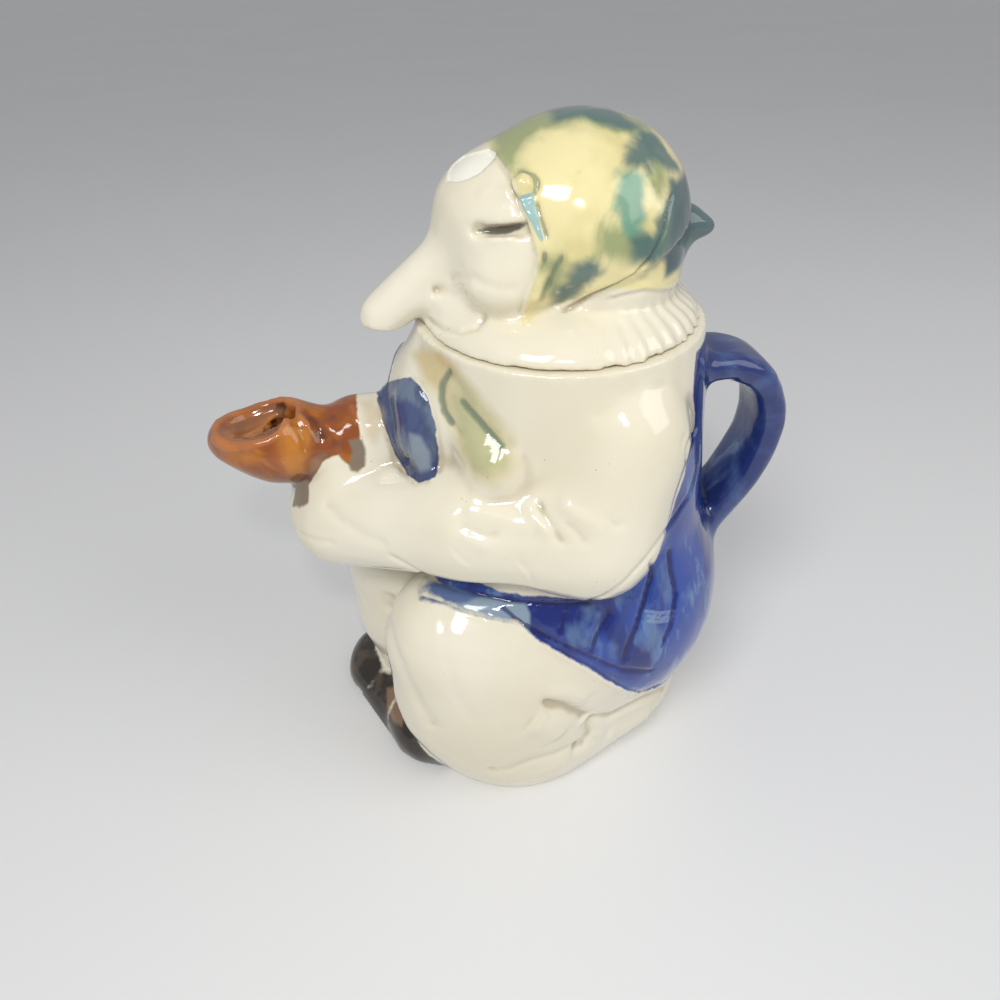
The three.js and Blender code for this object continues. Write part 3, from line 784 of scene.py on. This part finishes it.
# %% Thin the hidden inside
INSIDE_KEEP = 0.08
INSIDE_DEPTH = 2.4
RIM_BAND = 8.0


def thin(piece, inside, keep):
    """Collapse the faces where the inside flag is set, to a share of their number."""
    group_of(piece, "inside", inside.astype(float))
    share = float(inside.mean())
    ratio = 1.0 - share * (1.0 - keep)
    use_modifier(piece, "DECIMATE", ratio=ratio, vertex_group="inside", vertex_group_factor=10.0)
    piece.vertex_groups.clear()


points = points_of(body)
inside = np.minimum(torso_gap(points), arm_gap(points)) < -INSIDE_DEPTH
inside &= points[:, 2] < RIM_TOP - RIM_BAND
thin(body, inside, INSIDE_KEEP)
print("body triangles", triangles_of(body), "inside share", round(float(inside.mean()), 3))
print("lid triangles", triangles_of(lid))

# %% [markdown]
# ## Where each colour lies
#
# Each brushed colour gets a measure on every point: how far, in mm, the point is inside it.
# The glaze then softens and wobbles that edge, as a loaded brush does.

# %% Measures on the body
VEST_BACK = 36.5
VEST_SHOULDER = 156.0
VEST_TOP = 191.0
VEST_AHEAD = 3.5
VEST_FRONT_TOP = 126.0
HEM_SLOPE = 0.85
REAR_SLOPE = 0.3
VEST_FRONT_END = 4.0
SLEEVE_SHARE = 0.6
SLEEVE_MARGIN = 0.3
POUCH_BACK = -70.5
HANDLE_ROOT = 44.0
DRIP = (
    (348, 440), (362, 437), (366, 450), (366, 466), (358, 473), (350, 471), (348, 464), (352, 452)
)
RUN = ((281, 484), (309, 480), (309, 504), (300, 508), (284, 505))
CUFF = ((358, 400), (374, 398), (384, 412), (384, 434), (374, 446), (364, 436))
THIN_PATCH = ((387, 688), (396, 687), (403, 697), (404, 712), (402, 726), (394, 722), (387, 708))


def measure(piece, name, values):
    """Store one number in mm for each vertex."""
    layer = piece.data.attributes.new(name, "FLOAT", "POINT")
    layer.data.foreach_set("value", np.asarray(values, np.float32))


def near_lines(skin, lines, far=False):
    """How many mm each vertex lies from the nearest of some drawn lines, at most 20."""
    away = np.full(len(skin.points), 20.0)
    for pixels in lines:
        for mirrored in (False, True) if far else (False,):
            line = skin.line(pixels, mirrored)
            if len(line) > 1:
                chosen, distance, _, _, _ = near_line(skin, line, 20.0)
                away[chosen] = np.minimum(away[chosen], distance)
    return away


def inside_any(skin, outlines, far=True):
    """The greatest depth inside several outlines."""
    deepest = np.full(len(skin.points), -20.0)
    for pixels in outlines:
        deepest = np.maximum(deepest, inside_outline(skin, pixels))
        if far:
            deepest = np.maximum(deepest, inside_outline(skin, pixels, True))
    return deepest


def hollowness(piece, rounds=2):
    """How far each vertex lies below the middle of its neighbours, in mm."""
    points = points_of(piece)
    ends = np.empty(len(piece.data.edges) * 2, np.int32)
    piece.data.edges.foreach_get("vertices", ends)
    a, b = ends.reshape(-1, 2).T
    count = np.bincount(np.concatenate((a, b)), minlength=len(points))[:, None]

    def average(values):
        total = np.zeros_like(values)
        np.add.at(total, a, values[b])
        np.add.at(total, b, values[a])
        return total / np.maximum(count, 1)

    middle = points
    for _ in range(4):
        middle = average(middle)
    depth = ((middle - points) * normals_of(piece)).sum(1)[:, None]
    for _ in range(rounds):
        depth = average(depth)
    return depth[:, 0]


skin = Skin(body)
points = skin.points
y, z = points[:, 1], points[:, 2]
order = np.argsort(hem_line[:, 1])
above_hem = HEM_SLOPE * (z - np.interp(y, hem_line[order, 1], hem_line[order, 2]))
rear = y - hem_line[:, 1].max()
above_hem = np.where(rear > 0, above_hem + REAR_SLOPE * rear, above_hem)
sleeve = np.minimum(arm_gap(points), form_gap(points, (STEM,), GRIP_EGGS))
off_sleeve = SLEEVE_SHARE * (sleeve - torso_gap(points)) - SLEEVE_MARGIN
below_shoulder = np.maximum(VEST_SHOULDER - z, y - VEST_BACK)
behind_chest = y - hem_line[:, 1].min() + VEST_AHEAD
low_front = np.maximum(VEST_FRONT_TOP - z, y - VEST_FRONT_END)
vest = np.minimum.reduce((above_hem, off_sleeve, below_shoulder, VEST_TOP - z, behind_chest, low_front))
measure(body, "vest", vest)
off_grip = form_gap(points, (), GRIP_EGGS) - pouch_gap(points)
measure(body, "pouch", np.minimum(off_grip + 0.5, POUCH_BACK - y))
measure(body, "handle", np.minimum(3.0 - handle_gap(points), y - HANDLE_ROOT))
measure(body, "shoe", 1.0 - form_gap(points, (SHOE_BRIDGE,), SHOE_EGGS))
# The hollow measure drives the painted shade in the creases and the painted highlights on the humps.
measure(body, "hollow", hollowness(body))
NEAR_SIDE = {
    "mouth": (POUCH_MOUTH,),
    "hole_shade": (POUCH_HOLE,),
    "gold": GOLD_PATCHES,
    "thin_brown": (THIN_BROWN,),
    "drip": (DRIP, RUN),
    "cuff": (CUFF,),
    "thin_patch": (THIN_PATCH,),
}
BOTH_SIDES = {
    "lapel": (LAPEL,),
    "lapel_dark": (LAPEL_DARK,),
    "lapel_pale": (LAPEL_PALE,),
    "kerchief": (KERCHIEF,),
    "kerchief_tan": (KERCHIEF_TAN,),
    "kerchief_green": (KERCHIEF_GREEN,),
    "pale": PALE_PATCHES,
    "front_band": (FRONT_BAND,),
    "band_start": (BAND_START,),
}
for name, outlines in NEAR_SIDE.items():
    measure(body, name, inside_any(skin, outlines, False))
for name, outlines in BOTH_SIDES.items():
    measure(body, name, inside_any(skin, outlines))
measure(body, "kerchief_line", near_lines(skin, KERCHIEF_LINES, True))
measure(body, "pleat", near_lines(skin, PLEATS + (BAND,), True))
measure(body, "stripe", near_lines(skin, STRIPES))
print("vest share", round(float((vest > 0).mean()), 3))

# %% Measures on the lid
TEAL_PATCHES = (
    ((632, 134), (644, 134), (662, 147), (676, 165), (667, 166), (653, 158), (651, 172), (639, 168),
     (628, 163)),
    ((587, 261), (598, 263), (601, 272), (582, 288), (562, 297), (558, 306), (556, 300), (566, 284),
     (576, 270)),
    ((672, 182), (666, 202), (662, 220), (657, 238), (655, 248), (666, 254), (676, 248), (682, 230),
     (682, 205)),
    ((640, 127), (655, 138), (666, 150), (676, 166), (668, 168), (656, 160), (644, 146), (634, 134)),
    ((555, 111), (580, 106), (610, 110), (640, 127), (634, 134), (610, 121), (580, 116), (556, 119)),
    ((635, 241), (651, 241), (652, 256), (637, 257)),
)
TURQUOISE_PATCHES = (
    ((620, 173), (634, 170), (644, 174), (646, 200), (641, 226), (632, 231), (621, 228), (618, 200)),
)
GREEN_PATCHES = (
    ((489, 149), (500, 130), (520, 118), (545, 109), (566, 105), (568, 124), (542, 131), (525, 143),
     (518, 156), (515, 176), (506, 166)),
    ((560, 106), (590, 103), (620, 110), (645, 124), (660, 142), (650, 150), (632, 138), (606, 127),
     (578, 124), (560, 125)),
    ((600, 224), (620, 220), (646, 232), (655, 246), (648, 258), (624, 261), (600, 261), (590, 268),
     (582, 266), (592, 246)),
    ((544, 262), (562, 262), (570, 276), (560, 298), (548, 306), (540, 290)),
    ((650, 150), (664, 162), (672, 182), (664, 204), (652, 200), (646, 180)),
)
SCARF_LOW = 207.5
SCARF_SLOPE = 0.38
NAPE_TOP = 214.0
NAPE_SLOPE = 0.18
NAPE_FRONT = 6.0
TAIL_FRONT = 25.5
TAIL_BACK = 34.0
TAIL_ENDS = (213.0, 240.0)

skin = Skin(lid)
points = skin.points
edge_line = skin.line(SCARF_EDGE)
order = np.argsort(edge_line[:, 2])
y, z = points[:, 1], points[:, 2]
front_edge = y - np.interp(z, edge_line[order, 2], edge_line[order, 1])
lower_edge = z - SCARF_LOW - SCARF_SLOPE * (y + 9.0)
nape = np.minimum(y - NAPE_FRONT, z - NAPE_TOP + NAPE_SLOPE * (y - NAPE_FRONT))
measure(lid, "scarf", np.minimum(front_edge, np.maximum(lower_edge, nape)))
panel = np.minimum.reduce((y - TAIL_FRONT, TAIL_ENDS[1] - z, z - TAIL_ENDS[0]))
measure(lid, "tail", np.maximum(y - TAIL_BACK, panel))
measure(lid, "chip", inside_outline(skin, CHIP))
SCARF_COLOURS = {
    "teal": TEAL_PATCHES,
    "turquoise": TURQUOISE_PATCHES,
    "green": GREEN_PATCHES,
    "strip": (STRIP,),
    "eye": (EYE,),
}
for name, outlines in SCARF_COLOURS.items():
    measure(lid, name, inside_any(skin, outlines))
# The hollow measure drives the painted shade in the creases.
measure(lid, "hollow", hollowness(lid))
print("scarf measured")

# %% [markdown]
# ## Glazes
#
# One clear glossy glaze covers everything.
# Under it lie the cream clay, the blue vest and handle, the amber pouch and the scarf's greens.

# %% Glaze builder
class Glaze:
    """A small helper that builds one glossy glaze from nodes."""

    def __init__(self, name):
        self.material = bpy.data.materials.new(name)
        self.material.use_nodes = True
        self.tree = self.material.node_tree
        self.shader = self.tree.nodes["Principled BSDF"]
        self.place = self.tree.nodes.new("ShaderNodeTexCoord").outputs["Object"]

    def link(self, source, target):
        """Join an output to an input, or set the input to a constant."""
        if isinstance(source, (int, float)):
            target.default_value = source
        elif isinstance(source, tuple):
            target.default_value = (*source, 1.0)[:4]
        else:
            self.tree.links.new(source, target)

    def measure(self, name):
        """A number stored on the vertices."""
        node = self.tree.nodes.new("ShaderNodeAttribute")
        node.attribute_name = name
        return node.outputs["Fac"]

    def sum(self, kind, a, b=0.0):
        """One arithmetic step."""
        node = self.tree.nodes.new("ShaderNodeMath")
        node.operation = kind
        self.link(a, node.inputs[0])
        self.link(b, node.inputs[1])
        return node.outputs[0]

    def noise(self, scale, detail=3.0, stretch=None, distortion=0.0):
        """Cloudy noise with a size given as spots per metre."""
        node = self.tree.nodes.new("ShaderNodeTexNoise")
        node.inputs["Scale"].default_value = scale
        node.inputs["Detail"].default_value = detail
        node.inputs["Distortion"].default_value = distortion
        source = self.place
        if stretch is not None:
            mapping = self.tree.nodes.new("ShaderNodeMapping")
            mapping.inputs["Scale"].default_value = stretch
            self.tree.links.new(self.place, mapping.inputs["Vector"])
            source = mapping.outputs["Vector"]
        self.tree.links.new(source, node.inputs["Vector"])
        return node.outputs["Fac"]

    def spots(self, scale, radius):
        """Small round specks scattered through the clay."""
        node = self.tree.nodes.new("ShaderNodeTexVoronoi")
        node.inputs["Scale"].default_value = scale
        self.tree.links.new(self.place, node.inputs["Vector"])
        return self.step(node.outputs["Distance"], radius, radius * 0.5)

    def step(self, value, low, high):
        """0 at low, 1 at high, smooth between; low may be the greater of the two."""
        node = self.tree.nodes.new("ShaderNodeMapRange")
        node.interpolation_type = "SMOOTHSTEP"
        self.link(value, node.inputs["Value"])
        node.inputs["From Min"].default_value = low
        node.inputs["From Max"].default_value = high
        return node.outputs["Result"]

    def mix(self, share, a, b):
        """Colour a where share is 0, and b where it is 1."""
        node = self.tree.nodes.new("ShaderNodeMix")
        node.data_type = "RGBA"
        self.link(share, node.inputs["Factor"])
        self.link(a, node.inputs["A"])
        self.link(b, node.inputs["B"])
        return node.outputs["Result"]

    def wash(self, colour, share, strength, over):
        """A colour partly covered by another, by a share and a strength."""
        return self.mix(self.sum("MULTIPLY", share, strength), colour, over)

    def blend(self, value, low, high, a, b):
        """Colour a where the value is low, and b where it is high."""
        return self.mix(self.step(value, low, high), a, b)

    def pool(self, colour, low, high, strength, over):
        """Painted shade washed into the hollows, or a painted highlight on the humps where high is below
        zero.
        """
        return self.wash(colour, self.step(self.measure("hollow"), low, high), strength, over)

    def cover(self, colour, name, wobble, low, high, over, strength=1.0):
        """A wash wherever a stored measure says so, with a wobbling edge."""
        return self.wash(colour, self.within(name, wobble, low, high), strength, over)

    def within(self, name, wobble, low, high):
        """How far inside a stored measure a spot is, with a wobbling edge."""
        return self.step(self.sum("ADD", self.measure(name), wobble), low, high)

    def swing(self, noise, width):
        """Noise as a change to either side of zero."""
        return self.sum("MULTIPLY", self.sum("SUBTRACT", noise, 0.5), width)


def paint(red, green, blue):
    """A picture colour, 0 to 255, as the light it reflects."""
    return tuple(((c / 255.0 + 0.055) / 1.055) ** 2.4 if c > 10 else c / 3294.6 for c in (red, green, blue))


def finish_glaze(g, colour, roughness=0.1):
    """Gloss, a faint orange-peel ripple, and specks of iron in the clay."""
    speck = g.sum("MULTIPLY", g.spots(330.0, 0.09), g.step(g.noise(40.0), 0.56, 0.62))
    colour = g.wash(colour, speck, 0.55, paint(92, 70, 48))
    g.link(colour, g.shader.inputs["Base Color"])
    g.link(roughness, g.shader.inputs["Roughness"])
    g.shader.inputs["IOR"].default_value = 1.5
    g.shader.inputs["Coat Weight"].default_value = 0.25
    g.shader.inputs["Coat Roughness"].default_value = 0.05
    height = g.sum("ADD", g.noise(70.0, 2.0), g.sum("MULTIPLY", g.noise(420.0, 2.0), 0.12))
    bump = g.tree.nodes.new("ShaderNodeBump")
    bump.inputs["Strength"].default_value = 0.28
    bump.inputs["Distance"].default_value = 0.0008
    g.link(height, bump.inputs["Height"])
    g.link(bump.outputs["Normal"], g.shader.inputs["Normal"])
    return g.material


def cream_under_glaze(g):
    """Warm white clay, with painted shade darkening it in the creases."""
    colour = g.blend(g.noise(14.0), 0.35, 0.7, paint(233, 227, 207), paint(226, 217, 192))
    # Painted shade: a darker beige wash in the creases.
    return g.pool(colour, 0.02, 0.32, 0.75, paint(178, 164, 132))


# %% Body glaze
def brushed_blue(g):
    """Cobalt laid on in upright strokes, pale where it ran thin, with painted shade in the creases and
    painted highlights on the humps.
    """
    strokes = g.noise(95.0, 4.0, (1.0, 1.0, 0.32), 0.6)
    blots = g.noise(38.0, 3.0, (1.0, 1.0, 0.7), 0.8)
    fine = g.noise(260.0, 3.0, (1.0, 1.0, 0.25))
    colour = g.blend(blots, 0.40, 0.62, paint(38, 70, 156), paint(22, 38, 112))
    ragged = g.sum("ADD", strokes, g.swing(fine, 0.35))
    thin = g.sum("MULTIPLY", g.step(ragged, 0.54, 0.66), g.step(blots, 0.60, 0.40))
    colour = g.wash(colour, thin, 0.7, paint(102, 134, 174))
    frayed = g.swing(ragged, 22.0)
    colour = g.cover(colour, "pale", frayed, -2.2, 3.4, paint(104, 134, 172), 0.5)
    stripe = g.step(g.measure("stripe"), 0.9, 0.4)
    colour = g.wash(colour, stripe, 0.5, paint(140, 164, 190))
    # Painted shade: dark navy in the creases.
    colour = g.pool(colour, 0.03, 0.22, 0.85, paint(18, 28, 88))
    # Painted highlight: paler blue on the humps.
    return g.pool(colour, -0.05, -0.3, 0.5, paint(104, 130, 178))


def axis_of(g, name):
    """One of the three coordinates of the place on the object, in mm."""
    node = g.tree.nodes.new("ShaderNodeSeparateXYZ")
    g.link(g.place, node.inputs["Vector"])
    return g.sum("MULTIPLY", node.outputs[name], MM)


def amber_flow(g):
    """A thick brown glaze that runs from orange to purple-brown, with painted highlights on its humps and
    painted shade in its creases and its pouring hole.
    """
    swirl = g.noise(55.0, 4.0, (1.0, 0.7, 1.0), 1.6)
    colour = g.blend(swirl, 0.38, 0.54, paint(168, 100, 34), paint(140, 74, 32))
    colour = g.blend(swirl, 0.54, 0.70, colour, paint(112, 66, 44))
    ragged = g.swing(swirl, 16.0)
    gold = g.within("gold", ragged, -2.4, 3.0)
    colour = g.wash(colour, gold, 0.8, paint(196, 126, 44))
    under = g.sum("MULTIPLY", g.step(axis_of(g, "Z"), 154.0, 141.0), g.step(gold, 0.9, 0.2))
    colour = g.wash(colour, under, 0.7, paint(112, 68, 52))
    tip = g.step(axis_of(g, "Y"), -112.0, -122.0)
    colour = g.wash(colour, tip, 0.55, paint(150, 104, 84))
    # Painted highlight: paler orange on the humps of the pouch.
    colour = g.pool(colour, -0.06, -0.35, 0.55, paint(196, 124, 72))
    edge = g.sum("MULTIPLY", ragged, 0.3)
    colour = g.cover(colour, "thin_brown", edge, -0.6, 0.8, paint(146, 116, 88), 0.75)
    # Painted shade: dark brown in the creases of the pouch.
    colour = g.pool(colour, 0.05, 0.3, 0.8, paint(88, 48, 28))
    # Painted shade: near-black brown inside the pouring hole.
    return g.wash(colour, g.step(g.measure("hole_shade"), -0.6, 0.8), 0.85, paint(58, 28, 18))


def body_glaze():
    """Cream with a blue vest and handle, an amber pouch and dark shoes."""
    g = Glaze("body_glaze")
    wobble = g.swing(g.noise(60.0), 2.4)
    fray = g.swing(g.noise(300.0, 3.0), 1.2)
    colour = cream_under_glaze(g)
    olive = g.blend(g.noise(75.0, 3.0), 0.40, 0.64, paint(206, 194, 150), paint(182, 176, 126))
    soft = g.sum("MULTIPLY", wobble, 2.2)
    olive = g.cover(olive, "kerchief_green", soft, -3.0, 3.0, paint(164, 168, 118), 0.75)
    olive = g.cover(olive, "kerchief_tan", soft, -2.0, 2.5, paint(204, 182, 128), 0.8)
    colour = g.cover(colour, "kerchief", soft, -3.0, 3.6, olive, 0.85)
    colour = g.cover(colour, "kerchief_line", fray, 2.0, 0.5, paint(96, 116, 98), 0.75)
    upright = g.noise(110.0, 3.0, (1.0, 1.0, 0.5))
    slate = g.blend(upright, 0.42, 0.62, paint(68, 80, 112), paint(104, 118, 138))
    slate = g.cover(slate, "lapel_dark", wobble, -1.2, 1.2, paint(56, 66, 112), 0.7)
    slate = g.cover(slate, "lapel_pale", wobble, -1.2, 1.2, paint(138, 150, 160), 0.8)
    # Painted shade: dark blue in the lapel's creases.
    slate = g.pool(slate, 0.02, 0.2, 0.8, paint(50, 58, 104))
    colour = g.cover(colour, "lapel", fray, -0.3, 0.4, slate)
    colour = g.cover(colour, "cuff", wobble, -2.0, 3.0, paint(196, 176, 138), 0.6)
    blue = brushed_blue(g)
    front = g.within("front_band", wobble, -1.0, 0.6)
    along = g.noise(60.0, 4.0, (1.0, 0.5, 1.0))
    pale = g.blend(along, 0.48, 0.62, paint(136, 154, 172), paint(84, 104, 148))
    pale = g.cover(pale, "band_start", wobble, -1.5, 1.5, paint(70, 84, 126), 0.7)
    vest = g.mix(front, blue, pale)
    vest = g.cover(vest, "pleat", fray, 1.2, 0.4, paint(22, 32, 94), 0.75)
    back = g.step(g.sum("ADD", axis_of(g, "Y"), g.sum("MULTIPLY", wobble, 1.5)), 36.0, 46.0)
    back = g.sum("MULTIPLY", back, g.step(axis_of(g, "Z"), 128.0, 150.0))
    vest = g.wash(vest, back, 0.6, paint(98, 112, 152))
    colour = g.cover(colour, "vest", fray, -0.4, 0.5, vest)
    streaks = g.noise(90.0, 4.0, (1.0, 0.5, 0.5), 0.8)
    strap = g.blend(streaks, 0.42, 0.62, paint(40, 54, 110), paint(68, 88, 136))
    strap = g.wash(strap, g.step(streaks, 0.60, 0.70), 0.7, paint(122, 142, 172))
    # Painted shade: dark blue in the handle's creases.
    strap = g.pool(strap, 0.02, 0.14, 0.8, paint(26, 34, 84))
    colour = g.cover(colour, "handle", fray, -0.4, 0.5, strap)
    amber = amber_flow(g)
    amber = g.wash(amber, g.step(g.measure("mouth"), 0.0, 3.0), 0.35, paint(176, 122, 82))
    colour = g.cover(colour, "pouch", fray, -0.4, 0.5, amber)
    colour = g.cover(colour, "drip", fray, -0.5, 0.8, paint(132, 116, 98))
    hide = g.blend(g.noise(120.0, 3.0), 0.45, 0.65, paint(44, 38, 32), paint(78, 66, 54))
    hide = g.cover(hide, "thin_patch", fray, -1.2, 1.0, paint(132, 104, 82))
    colour = g.cover(colour, "shoe", fray, -0.4, 0.5, hide)
    return finish_glaze(g, colour)


body.data.materials.append(body_glaze())
print("body glaze nodes", len(body.data.materials[0].node_tree.nodes))


# %% Lid glaze
def lid_glaze():
    """Cream face and collar, and a yellow scarf blotched with greens."""
    g = Glaze("lid_glaze")
    wobble = g.swing(g.noise(75.0, 4.0, None, 0.6), 14.0)
    fray = g.swing(g.noise(300.0, 3.0), 1.2)
    colour = cream_under_glaze(g)
    cloth = g.blend(g.noise(45.0, 3.0), 0.45, 0.7, paint(230, 218, 164), paint(208, 196, 136))
    cloth = g.wash(cloth, g.step(g.noise(110.0, 3.0), 0.62, 0.76), 0.7, paint(156, 162, 104))
    cloth = g.cover(cloth, "green", wobble, -3.0, 3.5, paint(134, 148, 102), 0.85)
    cloth = g.cover(cloth, "teal", g.sum("MULTIPLY", wobble, 0.7), -3.2, 1.4, paint(72, 104, 104), 0.9)
    cloth = g.cover(cloth, "turquoise", g.sum("MULTIPLY", wobble, 0.6), -2.4, 1.8, paint(92, 150, 132), 0.85)
    # Painted shade: dark green in the scarf's creases.
    cloth = g.pool(cloth, 0.01, 0.16, 0.6, paint(88, 108, 92))
    low = g.sum("MULTIPLY", g.step(axis_of(g, "Z"), 217.0, 207.0), g.step(axis_of(g, "Y"), -4.0, -12.0))
    cloth = g.wash(cloth, low, 0.7, paint(220, 206, 160))
    cloth = g.cover(cloth, "tail", fray, -1.0, 2.0, paint(88, 106, 108))
    colour = g.cover(colour, "scarf", fray, -0.6, 0.9, cloth)
    colour = g.cover(colour, "strip", fray, -0.3, 0.4, paint(156, 186, 182))
    colour = g.cover(colour, "eye", fray, -0.5, 0.4, paint(112, 108, 98))
    chip = g.step(g.measure("chip"), -0.1, 0.1)
    colour = g.mix(chip, colour, paint(242, 239, 224))
    roughness = g.sum("ADD", g.sum("MULTIPLY", chip, 0.5), 0.1)
    return finish_glaze(g, colour, roughness)


lid.data.materials.append(lid_glaze())
print("lid glaze nodes", len(lid.data.materials[0].node_tree.nodes))

# %% [markdown]
# ## Hand over
#
# Both pieces ride on the one body of the solid model and stand in for its two solids.

# %% Finish
for piece, node, slot in ((body, "body", "body_glaze"), (lid, "lid", "lid_glaze")):
    select_only(piece)
    bpy.ops.object.shade_smooth()
    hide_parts(node)
    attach(piece, "root")
